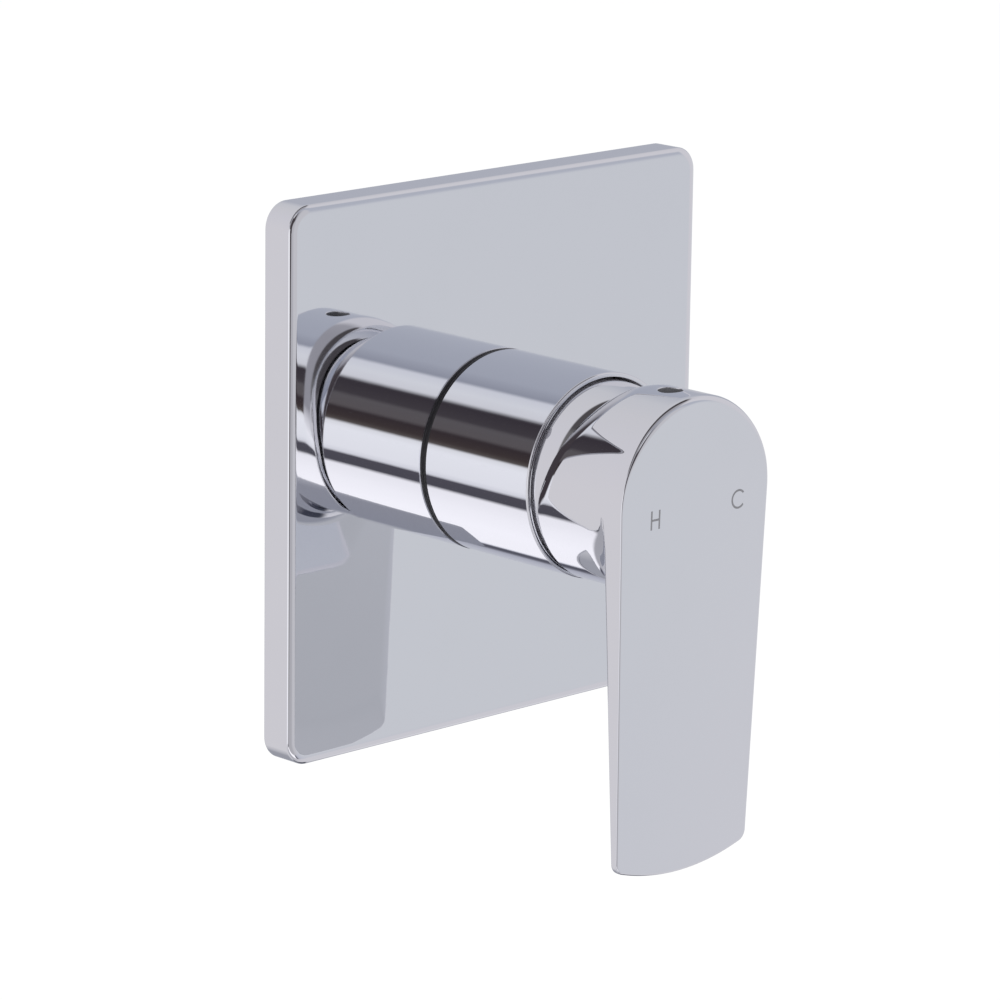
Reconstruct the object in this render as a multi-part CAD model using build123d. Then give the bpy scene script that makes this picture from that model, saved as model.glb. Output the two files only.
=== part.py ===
from build123d import *
import math
import os

# Concealed single lever shower mixer, in millimetres.
# X is to the viewer's right, Z is up and Y runs into the wall. The origin is the centre of the
# wall plate's back, on the cartridge axis. "Forward" is the distance from the wall towards the
# user, so a piece at forward 40 lies at Y = -40.

# Wall plate
plate_side = 130.0
plate_corner = 6.0
plate_thickness = 8.6
plate_face_wall = 3.0
plate_rim_wall = 3.0
plate_edge_round = 1.4
plate_hub_wall = 4.0
gasket_width = 7.0
gasket_clearance = 0.4

# Cartridge and the sleeves round it, from the inside out
cartridge_radius = 17.5
bore_clearance = 0.15
nut_land = 2.0
thread_clearance = 0.1
spigot_wall = 1.4
spigot_length = 5.4
neck_step = 0.6
collar_gap = 1.4
collar_wall = 1.05
collar_length = 33.7
collar_seal_height = 1.0
collar_seal_inset = 0.35
collar_edge_round = 0.5
dome_gap = 0.6
dome_fit = 0.1
dome_wall = 1.2
dome_opening_angle = 48.0
dome_join = 2.4
hole_clearance = 0.7

# Tilt pivot, stem and the discs that it moves
pivot_behind_collar_front = 1.8
stem_arm = 12.1
stem_side = 8.0
stem_arm_radius = 2.2
stem_ball_radius = 3.0
stem_neck_height = 7.5
stem_end_gap = 0.4
ball_clearance = 0.2
pin_radius = 1.5
pin_running_clearance = 0.06
pin_seat_clearance = 0.02
pin_end_gap = 0.4
guide_slot_clearance = 0.06
carrier_thickness = 3.0
carrier_behind_ball = 1.4
carrier_half_width = 9.0
moving_disc_radius = 11.4
moving_disc_thickness = 3.5
fixed_disc_thickness = 4.5
base_thickness = 6.0
base_spigot = 2.0
housing_wall = 1.3
housing_roof = 2.2
disc_clearance = 0.3
running_gap = 0.2
friction_ring_height = 0.6
friction_ring_inset = 1.0
guide_flange_thickness = 2.2
guide_radius = 10.3
guide_clearance = 0.1
guide_length = 13.0
guide_rail_width = 3.0
guide_rail_height = 16.0
guide_rail_clearance = 0.15
guide_rail_depth = 2.8
housing_neck_wall = 3.1
housing_neck_length = 11.3
nut_height = 4.8
nut_notches = 4
nut_notch_width = 4.0
nut_notch_height = 2.4
neck_past_nut = 0.5
tilt_range = 20.0

# Water ports of the cartridge
inlet_port_offset = (7.8, -4.2)
outlet_port_offset = 7.4
port_radius = 3.2
pocket_length = 16.8
pocket_width = 8.8
pocket_centre = 4.6
pocket_depth = 2.0
seal_width = 1.6
seal_height = 1.5
disc_seal_height = 1.2
peg_radius = 2.0
peg_length = 3.0
peg_clearance = 0.1
peg_offset = (13.6, 3.4)

# Body in the wall
pipe_axis_depth = 16.0
boss_radius = 13.0
inlet_reach = 36.0
outlet_reach = 38.0
pipe_thread_radius = 9.3
pipe_thread_depth = 13.0
chamber_radius = 23.5
chamber_front = 2.5
chamber_pad = 1.0
side_drill_radius = 4.5
cross_drill_radius = 3.6
channel_radius = 3.2
side_drill_end = 6.0

# Bracket behind the body
bracket_side = 58.0
bracket_thickness = 2.5
bracket_corner = 6.0
bracket_hole_radius = 2.6
bracket_hole_spacing = 47.0
bracket_screw_offset = 12.0
bracket_screw_radius = 2.0
bracket_screw_head = 3.8
bracket_screw_length = 8.5
bracket_screw_clearance = 0.05
bracket_screw_hex = 2.5
bracket_screw_hex_depth = 1.2

# Rubber rings
o_ring_radius = 1.28
groove_floor = 1.2
groove_side_clearance = 0.1
collar_ring_places = (16.5, 30.0)
plate_ring_place = 5.0
plate_ring_clearance = 0.02
plate_groove_clearance = 0.05

# Plug and strainers
plug_hex = 22.0
plug_head = 6.0
plug_flange = 2.0
plug_shank = 9.0
plug_thread_clearance = 0.05
plug_socket_hex = 8.0
plug_socket_depth = 8.0
washer_radius = 12.4
washer_thickness = 1.5
filter_rim = 1.6
filter_thickness = 1.0
filter_bar = 0.8
filter_bars = 7
filter_clearance = 0.1
filter_seat_step = 0.7
filter_seat_depth = 1.2

# Lever
hub_inset = 0.25
hub_step = 0.05
hub_arc = 12.0
hub_nose = 13.1
hub_overlap = 1.8
lever_reach = 88.0
lever_tip_half_width = 21.2
lever_tip_arc = 64.0
lever_tip_corner = 2.8
face_forward = 72.9
face_lean = 1.28
paddle_thickness = 5.7
lever_back_lean = -1.34
lever_edge_round = 0.6
junction_round = 4.0
rim_low_gap = 2.6
rim_high_gap = 10.3
rim_bend_low = -5.0
rim_bend_high = 26.0
rim_bend_pull = 8.0
cavity_clearance = 0.45
boss_wall = 4.2
boss_rear_from_pivot = 19.0
socket_clearance = 0.05
socket_floor_gap = 0.2
socket_floor_wall = 3.5
screw_behind_face = 8.6
screw_radius = 2.45
screw_hole_radius = 2.5
screw_mouth_radius = 2.9
screw_length = 10.0
screw_hex = 2.5
screw_hex_depth = 3.0

# Hot and cold letters, sunk in the lever's face
mark_depth = 0.3
mark_stroke = 0.5
hot_mark_place = (-12.8, -2.8)
hot_mark_height = 4.4
hot_mark_width = 3.0
cold_mark_place = (14.1, -2.2)
cold_mark_radius = 2.3
cold_mark_opening = 40.0

# How far a cutting shape runs past the face that it opens
overcut = 1.0

# Radii that follow from the clearances
body_bore = cartridge_radius + bore_clearance
nut_radius = cartridge_radius + nut_land
nut_bore = nut_radius + thread_clearance
spigot_radius = nut_bore + spigot_wall
neck_radius = spigot_radius + neck_step
collar_inner = neck_radius + collar_gap
collar_radius = collar_inner + collar_wall
dome_skirt_radius = collar_inner - dome_gap
dome_skirt_inner = spigot_radius + dome_fit
dome_sphere = dome_skirt_radius + dome_fit
dome_inner = dome_sphere - dome_wall
housing_inner = cartridge_radius - housing_wall
disc_radius = housing_inner - disc_clearance
housing_neck_inner = guide_radius + guide_clearance
housing_neck_radius = housing_neck_inner + housing_neck_wall
plate_hole = neck_radius + hole_clearance
plate_ring_centre = neck_radius + o_ring_radius + plate_ring_clearance
collar_ring_centre = neck_radius - groove_floor + o_ring_radius
half_groove = o_ring_radius + groove_side_clearance
seal_radius = port_radius + seal_width
hub_radius = collar_radius - hub_inset
cavity_radius = dome_sphere + cavity_clearance
lever_boss_radius = stem_side / 2 + boss_wall
filter_seat_radius = pipe_thread_radius - filter_seat_step

# Places along the axis that follow from the collar and the pivot
collar_rear = plate_thickness + collar_seal_height
collar_front = collar_rear + collar_length
pivot_forward = collar_front - pivot_behind_collar_front
ball_forward = pivot_forward - stem_arm
carrier_rear = ball_forward - carrier_behind_ball
carrier_front = carrier_rear + carrier_thickness
fixed_disc_front = carrier_rear - moving_disc_thickness
base_front = fixed_disc_front - fixed_disc_thickness
seat_forward = base_front - base_thickness
housing_rear = base_front - base_spigot
flange_rear = carrier_front + running_gap
flange_front = flange_rear + guide_flange_thickness
roof_rear = flange_front + friction_ring_height
shoulder = roof_rear + housing_roof
nut_front = shoulder + nut_height
neck_front = nut_front + neck_past_nut
spigot_rear = neck_front - spigot_length
guide_front = flange_front + guide_length
housing_front = shoulder + housing_neck_length
boss_rear = pivot_forward + boss_rear_from_pivot
rim_low_forward = collar_front + rim_low_gap
rim_high_forward = collar_front + rim_high_gap
hub_full_forward = face_forward - hub_nose
lever_back_forward = face_forward - paddle_thickness
screw_forward = face_forward - screw_behind_face
socket_floor = face_forward - socket_floor_wall
stem_front = socket_floor - socket_floor_gap
body_back = pipe_axis_depth + boss_radius + chamber_pad
bracket_back = body_back + bracket_thickness
inlet_mouth = inlet_reach - pipe_thread_depth
outlet_mouth = outlet_reach - pipe_thread_depth
filter_floor = inlet_mouth - filter_seat_depth
disc_travel = stem_arm * math.sin(math.radians(tilt_range))


def facing(forward):
    """A drawing plane parallel to the wall whose normal points to the user."""
    return Plane.XZ.offset(forward)


def sideways(x, forward, z=0):
    """A drawing plane across X, centred on a place on the mixer axis or in the wall."""
    return Plane.YZ.offset(x) * Pos(-forward, z)


def upward(z, forward):
    """A drawing plane across Z, centred on a place on the mixer axis or in the wall."""
    return Plane.XY.offset(z) * Pos(0, -forward)


def rod(radius, start, end, x=0, z=0):
    """A round bar along the mixer axis from one forward place to another."""
    return extrude(facing(start) * Pos(x, z) * Circle(radius), amount=end - start)


def tube(outer, inner, start, end, x=0, z=0):
    """A round tube along the mixer axis."""
    return rod(outer, start, end, x, z) - rod(inner, start, end, x, z)


def bar(width, height, start, end, x=0, z=0):
    """A rectangular bar along the mixer axis."""
    return extrude(facing(start) * Pos(x, z) * Rectangle(width, height), amount=end - start)


def ball(radius, forward):
    """A ball on the mixer axis."""
    return Pos(0, -forward, 0) * Sphere(radius)


def o_ring(centre_radius, forward):
    """A rubber ring round the mixer axis."""
    return Pos(0, -forward, 0) * Rot(90, 0, 0) * Torus(centre_radius, o_ring_radius)


def side_solid(outline, reach):
    """A solid from a closed side view, as wide as the reach on both sides."""
    return extrude(Plane.YZ * make_face(outline), amount=reach, both=True)


def side_points(points):
    """Side view places given as forward and height."""
    return [(-forward, height) for forward, height in points]


def only(shape):
    """The one solid of a shape that a cut has left in a list or compound."""
    solids = shape.solids()
    return solids.sort_by(SortBy.VOLUME)[-1]


# Wall plate: a shallow tray, hollow at the back, with a ring round its centre hole
def make_wall_plate():
    outline = RectangleRounded(plate_side, plate_side, plate_corner)
    plate = extrude(facing(0) * outline, amount=plate_thickness)
    plate = fillet(plate.faces().sort_by(Axis.Y)[0].edges(), plate_edge_round)
    inside = plate_side - 2 * plate_rim_wall
    floor = plate_thickness - plate_face_wall
    inner = RectangleRounded(inside, inside, plate_corner - plate_rim_wall)
    hollow = extrude(facing(0) * inner, amount=floor)
    hollow -= rod(plate_hole + plate_hub_wall, 0, floor)
    plate -= hollow
    plate -= rod(plate_hole, 0, plate_thickness)
    ring_outer = plate_ring_centre + o_ring_radius + plate_groove_clearance
    plate -= rod(ring_outer, plate_ring_place - half_groove, plate_ring_place + half_groove)
    return only(plate)


# Foam frame that fills the rim of the hollow and meets the wall
def make_plate_gasket():
    outer = plate_side - 2 * plate_rim_wall - gasket_clearance
    inner = outer - 2 * gasket_width
    corner = plate_corner - plate_rim_wall
    frame = RectangleRounded(outer, outer, corner) - RectangleRounded(inner, inner, corner)
    return extrude(facing(0) * frame, amount=plate_thickness - plate_face_wall)


# Rubber rings: one grips the neck in the plate, two hold the collar on the neck
def make_plate_o_ring():
    return o_ring(plate_ring_centre, plate_ring_place)


def make_collar_o_rings():
    rings = [o_ring(collar_ring_centre, place) for place in collar_ring_places]
    return Compound(children=rings)


# Thin dark ring between the collar and the plate
def make_collar_seal():
    return tube(collar_radius - collar_seal_inset, collar_inner, plate_thickness, collar_rear)


# Plated sleeve over the neck, its front edge rounded
def make_collar():
    collar = tube(collar_radius, collar_inner, collar_rear, collar_front)
    front_edges = collar.edges().group_by(Axis.Y)[0]
    return fillet(front_edges.sort_by(SortBy.LENGTH)[-1:], collar_edge_round)


# Plated dome ring: a band of a ball about the pivot, with a skirt on the neck's spigot
def dome_arc(radius):
    """From the top of the skirt round to the dome's opening, in the turning profile."""
    start = -math.degrees(math.asin(dome_join / radius))
    return CenterArc((0, -pivot_forward), radius, start, dome_opening_angle - 90 - start)


def make_dome_cap():
    outer = dome_arc(dome_sphere)
    inner = dome_arc(dome_inner)
    join = -pivot_forward - dome_join
    skirt = Polyline(outer @ 0, (dome_skirt_radius, join), (dome_skirt_radius, -spigot_rear),
                     (dome_skirt_inner, -spigot_rear), (dome_skirt_inner, join), inner @ 0)
    profile = make_face(Curve() + [outer, Line(outer @ 1, inner @ 1), inner, skirt])
    return revolve(profile, Axis.Y)


# Brass body: neck, chamber, four pipe bosses and the drilled water ways
def make_mixer_body():
    body = rod(chamber_radius, -body_back, -chamber_front)
    body += rod(neck_radius, -body_back, spigot_rear)
    body += rod(spigot_radius, spigot_rear, neck_front)
    body += extrude(sideways(-inlet_reach, -pipe_axis_depth) * Circle(boss_radius), amount=2 * inlet_reach)
    body += extrude(upward(-outlet_reach, -pipe_axis_depth) * Circle(boss_radius), amount=2 * outlet_reach)
    return drill_body(body)


def drill_body(body):
    body -= rod(body_bore, seat_forward, shoulder)
    body -= rod(nut_bore, shoulder, neck_front)
    for side in (-1, 1):
        across, down = inlet_port_offset
        body -= rod(channel_radius, -pipe_axis_depth, seat_forward, side * across, down)
        inlet = sideways(side * side_drill_end, -pipe_axis_depth) * Circle(side_drill_radius)
        body -= extrude(inlet, amount=side * (inlet_reach - side_drill_end))
        mouth = sideways(side * inlet_mouth, -pipe_axis_depth) * Circle(pipe_thread_radius)
        body -= extrude(mouth, amount=side * pipe_thread_depth)
        seat = sideways(side * filter_floor, -pipe_axis_depth) * Circle(filter_seat_radius)
        body -= extrude(seat, amount=side * filter_seat_depth)
        mouth = upward(side * outlet_mouth, -pipe_axis_depth) * Circle(pipe_thread_radius)
        body -= extrude(mouth, amount=side * pipe_thread_depth)
        body -= make_peg(side, peg_radius + peg_clearance)
        body -= bracket_shank(side, bracket_screw_clearance)
    body -= rod(channel_radius, -pipe_axis_depth, seat_forward, 0, outlet_port_offset)
    cross = upward(-outlet_reach, -pipe_axis_depth) * Circle(cross_drill_radius)
    body -= extrude(cross, amount=2 * outlet_reach)
    for place in collar_ring_places:
        floor = neck_radius - groove_floor
        body -= tube(neck_radius + overcut, floor, place - half_groove, place + half_groove)
    return only(body)


# Steel bracket across the back of the body, held by two countersunk screws
def bracket_shank(side, clearance=0):
    end = -bracket_back + bracket_screw_length
    return rod(bracket_screw_radius + clearance, -bracket_back, end, side * bracket_screw_offset)


def make_bracket_screw(side, clearance=0):
    x = side * bracket_screw_offset
    screw = bracket_shank(side, clearance)
    wide = facing(-bracket_back) * Pos(x, 0) * Circle(bracket_screw_head + clearance)
    narrow_place = bracket_screw_head - bracket_screw_radius - bracket_back
    narrow = facing(narrow_place) * Pos(x, 0) * Circle(bracket_screw_radius + clearance)
    return screw + loft([wide, narrow])


def make_bracket_screws():
    screws = []
    for side in (-1, 1):
        key = RegularPolygon(bracket_screw_hex / 2, 6, major_radius=False)
        socket = facing(-bracket_back) * Pos(side * bracket_screw_offset, 0) * key
        screws.append(only(make_bracket_screw(side) - extrude(socket, amount=bracket_screw_hex_depth)))
    return Compound(children=screws)


def make_mounting_bracket():
    plate = RectangleRounded(bracket_side, bracket_side, bracket_corner)
    holes = GridLocations(bracket_hole_spacing, bracket_hole_spacing, 2, 2) * Circle(bracket_hole_radius)
    bracket = extrude(facing(-bracket_back) * (plate - holes), amount=bracket_thickness)
    for side in (-1, 1):
        bracket -= make_bracket_screw(side, bracket_screw_clearance)
    return only(bracket)


# Plug of the lower outlet with its washer, and the strainers behind each inlet's thread
def make_plug_washer():
    ring = Circle(washer_radius) - Circle(pipe_thread_radius)
    return extrude(upward(-outlet_reach, -pipe_axis_depth) * ring, amount=-washer_thickness)


def make_bottom_plug():
    head_top = -outlet_reach - washer_thickness
    at_head = upward(head_top, -pipe_axis_depth)
    head = extrude(at_head * RegularPolygon(plug_hex / 2, 6, major_radius=False), amount=-plug_head)
    flange = extrude(at_head * Circle(washer_radius), amount=-plug_flange)
    shank_radius = pipe_thread_radius - plug_thread_clearance
    shank = extrude(at_head * Circle(shank_radius), amount=plug_shank + washer_thickness)
    at_foot = upward(head_top - plug_head, -pipe_axis_depth)
    socket = RegularPolygon(plug_socket_hex / 2, 6, major_radius=False)
    return only(head + flange + shank - extrude(at_foot * socket, amount=plug_socket_depth))


def make_inlet_filters():
    radius = filter_seat_radius - filter_clearance
    spacing = 2 * radius / (filter_bars + 1)
    mesh = Circle(radius) - Circle(radius - filter_rim)
    bars = Sketch() + GridLocations(spacing, 0, filter_bars, 1) * Rectangle(filter_bar, 2 * radius)
    bars += GridLocations(0, spacing, 1, filter_bars) * Rectangle(2 * radius, filter_bar)
    mesh += bars & Circle(radius - filter_rim / 2)
    filters = []
    for side in (-1, 1):
        place = sideways(side * filter_floor, -pipe_axis_depth)
        filters.append(only(extrude(place * mesh, amount=side * filter_thickness)))
    return Compound(children=filters)


# Cartridge, lower half: base with ports, pegs and seals, then the fixed disc
def port_places():
    across, down = inlet_port_offset
    return [(-across, down), (across, down), (0, outlet_port_offset)]


def make_peg(side, radius):
    return rod(radius, seat_forward - peg_length, seat_forward, side * peg_offset[0], peg_offset[1])


def make_cartridge_base():
    base = rod(cartridge_radius - bore_clearance, seat_forward, housing_rear)
    base += rod(housing_inner - bore_clearance, housing_rear, base_front)
    for x, z in port_places():
        base -= rod(port_radius, seat_forward, base_front, x, z)
        base -= rod(seal_radius, seat_forward, seat_forward + seal_height, x, z)
        base -= rod(seal_radius, base_front - disc_seal_height, base_front, x, z)
    for side in (-1, 1):
        base += make_peg(side, peg_radius)
    return only(base)


def make_port_seals(start, height):
    seals = [tube(seal_radius, port_radius, start, start + height, x, z) for x, z in port_places()]
    return Compound(children=seals)


def make_fixed_disc():
    disc = rod(disc_radius, base_front, fixed_disc_front)
    for x, z in port_places():
        disc -= rod(port_radius, base_front, fixed_disc_front, x, z)
    return only(disc)


# Moving disc with its mixing pocket, and the carrier that holds the stem's ball end
def make_moving_disc():
    disc = rod(moving_disc_radius, fixed_disc_front, carrier_rear)
    pocket = facing(fixed_disc_front) * Pos(0, pocket_centre) * SlotOverall(pocket_length, pocket_width)
    return only(disc - extrude(pocket, amount=pocket_depth))


def make_disc_carrier():
    carrier = rod(moving_disc_radius, carrier_rear, carrier_front)
    carrier &= bar(2 * carrier_half_width, 2 * moving_disc_radius, carrier_rear, carrier_front)
    carrier -= rod(stem_ball_radius + ball_clearance, carrier_rear, carrier_front)
    return only(carrier)


# Stem guide: flange, slotted barrel and two rails that turn the carrier with it
def make_guide_slot():
    """Room for the square stem: straight when shut, wider on the sides it tilts to."""
    lean = math.radians(tilt_range)
    half = stem_side / 2 / math.cos(lean) + running_gap
    ahead = (guide_front - pivot_forward) * math.tan(lean) + half + running_gap
    behind = (pivot_forward - flange_rear) * math.tan(lean) + half + running_gap
    low = flange_rear - overcut
    high = guide_front + overcut
    points = [(low, half), (pivot_forward, half), (high, ahead), (high, -half), (pivot_forward, -half),
              (low, -behind)]
    return side_solid(Polyline(side_points(points), close=True), stem_side / 2 + guide_slot_clearance)


def make_stem_guide():
    flange_radius = housing_inner - disc_clearance
    guide = rod(flange_radius, flange_rear, flange_front)
    guide += rod(guide_radius, flange_front, guide_front)
    guide -= make_guide_slot()
    inner = carrier_half_width + guide_rail_clearance
    rail_rear = flange_rear - guide_rail_depth
    for side in (-1, 1):
        middle = side * (inner + guide_rail_width / 2)
        rail = bar(guide_rail_width, guide_rail_height, rail_rear, flange_rear, middle)
        guide += rail & rod(flange_radius, rail_rear, flange_rear)
    pin_hole = sideways(-guide_radius, pivot_forward) * Circle(pin_radius + pin_seat_clearance)
    return only(guide - extrude(pin_hole, amount=2 * guide_radius))


def make_pivot_pin():
    reach = guide_radius - pin_end_gap
    return extrude(sideways(-reach, pivot_forward) * Circle(pin_radius), amount=2 * reach)


def make_friction_ring():
    outer = disc_radius - disc_clearance
    return tube(outer, housing_neck_inner + friction_ring_inset, flange_front, roof_rear)


def make_cartridge_housing():
    housing = rod(cartridge_radius, housing_rear, shoulder) - rod(housing_inner, housing_rear, roof_rear)
    housing += rod(housing_neck_radius, shoulder, housing_front)
    return only(housing - rod(housing_neck_inner, roof_rear, housing_front))


def make_cartridge_nut():
    nut = tube(nut_radius, housing_neck_radius + thread_clearance, shoulder, nut_front)
    for turn in range(nut_notches):
        notch = bar(nut_notch_width, 2 * nut_land, nut_front - nut_notch_height, nut_front, 0, nut_radius)
        nut -= Rot(0, 360 / nut_notches * turn, 0) * notch
    return only(nut)


# Stem: square spindle, pin hole, arm and ball end
def make_stem():
    arm_top = pivot_forward - stem_neck_height
    stem = bar(stem_side, stem_side, arm_top, stem_front)
    stem += rod(stem_arm_radius, ball_forward, arm_top)
    flat_end = rod(stem_ball_radius, carrier_rear + stem_end_gap, ball_forward + stem_ball_radius)
    stem += ball(stem_ball_radius, ball_forward) & flat_end
    pin_hole = sideways(-stem_side, pivot_forward) * Circle(pin_radius + pin_running_clearance)
    return only(stem - extrude(pin_hole, amount=2 * stem_side))


# Lever: hub and paddle in one casting
def paddle_outline():
    """Front view: a round head, straight tapering sides and a shallow arc at the tip."""
    distance = math.hypot(lever_tip_half_width, lever_reach)
    taper = math.atan2(lever_tip_half_width, lever_reach) - math.asin(hub_radius / distance)
    side_x = hub_radius * math.cos(taper)
    side_z = hub_radius * math.sin(taper)
    sagitta = lever_tip_arc - math.sqrt(lever_tip_arc ** 2 - lever_tip_half_width ** 2)
    corner_z = -lever_reach + sagitta
    head = ThreePointArc((-side_x, side_z), (0, hub_radius), (side_x, side_z))
    right = Line((side_x, side_z), (lever_tip_half_width, corner_z))
    left_corner = (-lever_tip_half_width, corner_z)
    tip = ThreePointArc((lever_tip_half_width, corner_z), (0, -lever_reach), left_corner)
    left = Line(left_corner, (-side_x, side_z))
    face = make_face(Wire([head, right, tip, left]))
    corners = face.vertices().sort_by(Axis.Y)[:2]
    return fillet(corners, lever_tip_corner)


def lean_line(forward_at_axis, lean, height):
    """Where a plane that leans by some degrees lies at a height above the axis."""
    return forward_at_axis + math.tan(math.radians(lean)) * height


def make_paddle():
    low = -lever_reach - overcut
    high = hub_radius + overcut
    points = [(lean_line(lever_back_forward, lever_back_lean, low), low),
              (lean_line(face_forward, face_lean, low), low),
              (lean_line(face_forward, face_lean, high), high),
              (lean_line(lever_back_forward, lever_back_lean, high), high)]
    side = side_solid(Polyline(side_points(points), close=True), 2 * hub_radius)
    paddle = extrude(facing(pivot_forward) * paddle_outline(), amount=face_forward) & side
    return fillet(paddle.faces().sort_by(Axis.Y)[0].edges(), lever_edge_round)


def hub_section(forward):
    """Round below the axis, and above it an ellipse that gets lower towards the wall."""
    width = hub_radius - hub_step
    fall = max(hub_full_forward - forward, 0) ** 2 / (2 * hub_arc)
    below = ThreePointArc((-width, 0), (0, -width), (width, 0))
    above = EllipticalCenterArc((0, 0), width, width - fall, arc_size=180)
    return facing(forward) * make_face(Wire([below, above]))


def make_hub():
    """The rear of the head: its top rolls down towards the wall, its underside stays straight."""
    middle = (rim_high_forward + hub_full_forward) / 2
    places = (pivot_forward, rim_low_forward, rim_high_forward, middle, hub_full_forward)
    hub = loft([hub_section(forward) for forward in places])
    return hub + rod(hub_radius - hub_step, hub_full_forward, lever_back_forward + hub_overlap)


def make_junction():
    """The hollow round where the hub's underside meets the back of the paddle."""
    start = lever_back_forward - junction_round
    end = lever_back_forward + hub_overlap
    wide = hub_radius + junction_round
    ring = tube(wide, hub_radius - hub_overlap, start, end)
    centre = Pos(0, -start, 0) * Rot(90, 0, 0)
    ring -= centre * Torus(wide, junction_round)
    ring &= extrude(facing(start) * paddle_outline(), amount=end - start)
    return ring & bar(2 * wide, wide, start, end, 0, -wide / 2)


def make_rim_cut():
    """Cuts the hub's rear rim, which runs level low down and sweeps forward at the top."""
    top = 2 * hub_radius
    rear = pivot_forward - overcut
    low = (rim_low_forward, rim_bend_low)
    high = (rim_high_forward, rim_bend_high)
    sweep_points = [low, (rim_low_forward, rim_bend_low + rim_bend_pull),
                    (rim_high_forward, rim_bend_high - rim_bend_pull), high]
    sweep_line = Bezier(*side_points(sweep_points))
    rest = [high, (rim_high_forward, top), (rear, top), (rear, -top), (rim_low_forward, -top), low]
    return side_solid(Curve() + [sweep_line, Polyline(*side_points(rest))], 2 * hub_radius)


def make_lever_handle(marks):
    lever = make_hub() + make_paddle()
    lever += make_junction()
    lever -= make_rim_cut()
    lever -= ball(cavity_radius, pivot_forward) - rod(lever_boss_radius, boss_rear, face_forward)
    socket = stem_side + 2 * socket_clearance
    lever -= bar(socket, socket, boss_rear - overcut, socket_floor)
    lever -= extrude(upward(0, screw_forward) * Circle(screw_hole_radius), amount=2 * hub_radius)
    mouth = upward(stem_side / 2 + screw_length, screw_forward) * Circle(screw_mouth_radius)
    lever -= extrude(mouth, amount=2 * hub_radius)
    for mark in marks:
        lever -= mark
    return only(lever)


def make_grub_screw():
    foot = stem_side / 2
    screw = extrude(upward(foot, screw_forward) * Circle(screw_radius), amount=screw_length)
    key = upward(foot + screw_length, screw_forward) * RegularPolygon(screw_hex / 2, 6, major_radius=False)
    return only(screw - extrude(key, amount=-screw_hex_depth))


# Letters H and C as filled strokes, flush with the leaning face
def mark_solid(sketch, place):
    lean = math.radians(face_lean)
    normal = (0, -math.cos(lean), -math.sin(lean))
    face_plane = Plane(origin=(0, -face_forward, 0), x_dir=(1, 0, 0), z_dir=normal)
    return extrude(face_plane * Pos(place[0], place[1]) * sketch, amount=-mark_depth)


def make_hot_mark():
    column = Rectangle(mark_stroke, hot_mark_height)
    offset = (hot_mark_width - mark_stroke) / 2
    crossbar = Rectangle(hot_mark_width - mark_stroke, mark_stroke)
    letter = Pos(-offset, 0) * column + Pos(offset, 0) * column + crossbar
    return only(mark_solid(letter, hot_mark_place))


def make_cold_mark():
    ring = Circle(cold_mark_radius) - Circle(cold_mark_radius - mark_stroke)
    reach = 2 * cold_mark_radius
    spread = reach * math.tan(math.radians(cold_mark_opening))
    gap = make_face(Polyline([(0, 0), (reach, spread), (reach, -spread)], close=True))
    return only(mark_solid(ring - gap, cold_mark_place))


hot_mark = make_hot_mark()
cold_mark = make_cold_mark()

parts = {
    "wall_plate": make_wall_plate(),
    "plate_gasket": make_plate_gasket(),
    "plate_o_ring": make_plate_o_ring(),
    "collar_seal": make_collar_seal(),
    "collar": make_collar(),
    "collar_o_rings": make_collar_o_rings(),
    "dome_cap": make_dome_cap(),
    "mixer_body": make_mixer_body(),
    "mounting_bracket": make_mounting_bracket(),
    "bracket_screws": make_bracket_screws(),
    "bottom_plug": make_bottom_plug(),
    "plug_washer": make_plug_washer(),
    "inlet_filters": make_inlet_filters(),
    "cartridge_base": make_cartridge_base(),
    "base_seals": make_port_seals(seat_forward, seal_height),
    "disc_seals": make_port_seals(base_front - disc_seal_height, disc_seal_height),
    "fixed_disc": make_fixed_disc(),
    "moving_disc": make_moving_disc(),
    "disc_carrier": make_disc_carrier(),
    "stem_guide": make_stem_guide(),
    "pivot_pin": make_pivot_pin(),
    "friction_ring": make_friction_ring(),
    "cartridge_housing": make_cartridge_housing(),
    "cartridge_nut": make_cartridge_nut(),
    "stem": make_stem(),
    "lever_handle": make_lever_handle([hot_mark, cold_mark]),
    "grub_screw": make_grub_screw(),
    "hot_mark": hot_mark,
    "cold_mark": cold_mark,
}

os.makedirs("parts", exist_ok=True)
for name, shape in parts.items():
    export_step(shape, f"parts/{name}.step")

print(f"pivot forward {pivot_forward:.3f}, disc travel {disc_travel:.3f}, seat forward {seat_forward:.3f}")
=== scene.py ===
import math
import bmesh
import bpy
from mathutils import Matrix, Vector


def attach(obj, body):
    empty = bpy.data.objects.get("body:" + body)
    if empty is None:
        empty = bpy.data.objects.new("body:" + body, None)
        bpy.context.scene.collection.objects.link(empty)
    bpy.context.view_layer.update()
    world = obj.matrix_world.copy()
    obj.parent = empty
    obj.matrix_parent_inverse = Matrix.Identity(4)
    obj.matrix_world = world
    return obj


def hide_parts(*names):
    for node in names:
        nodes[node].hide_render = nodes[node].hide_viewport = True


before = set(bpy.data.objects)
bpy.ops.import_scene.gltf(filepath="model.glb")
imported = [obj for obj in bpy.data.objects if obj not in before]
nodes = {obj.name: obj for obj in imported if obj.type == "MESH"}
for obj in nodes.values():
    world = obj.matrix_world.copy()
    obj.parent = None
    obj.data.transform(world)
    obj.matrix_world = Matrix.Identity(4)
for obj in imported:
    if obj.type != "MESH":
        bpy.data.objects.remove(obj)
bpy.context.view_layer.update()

mm = 0.001


# Camera: a long lens to the left of the mixer and a little above it, as in the photograph.
# The frame is square and the mixer's axis points past the camera's right shoulder.
camera_place = (-794.70 * mm, -828.05 * mm, 266.81 * mm)
camera_azimuth = -44.16
camera_elevation = 13.73
camera_roll = 0.79
camera_lens = 180.43
camera_sensor = 36.0
camera_near = 10 * mm

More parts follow.
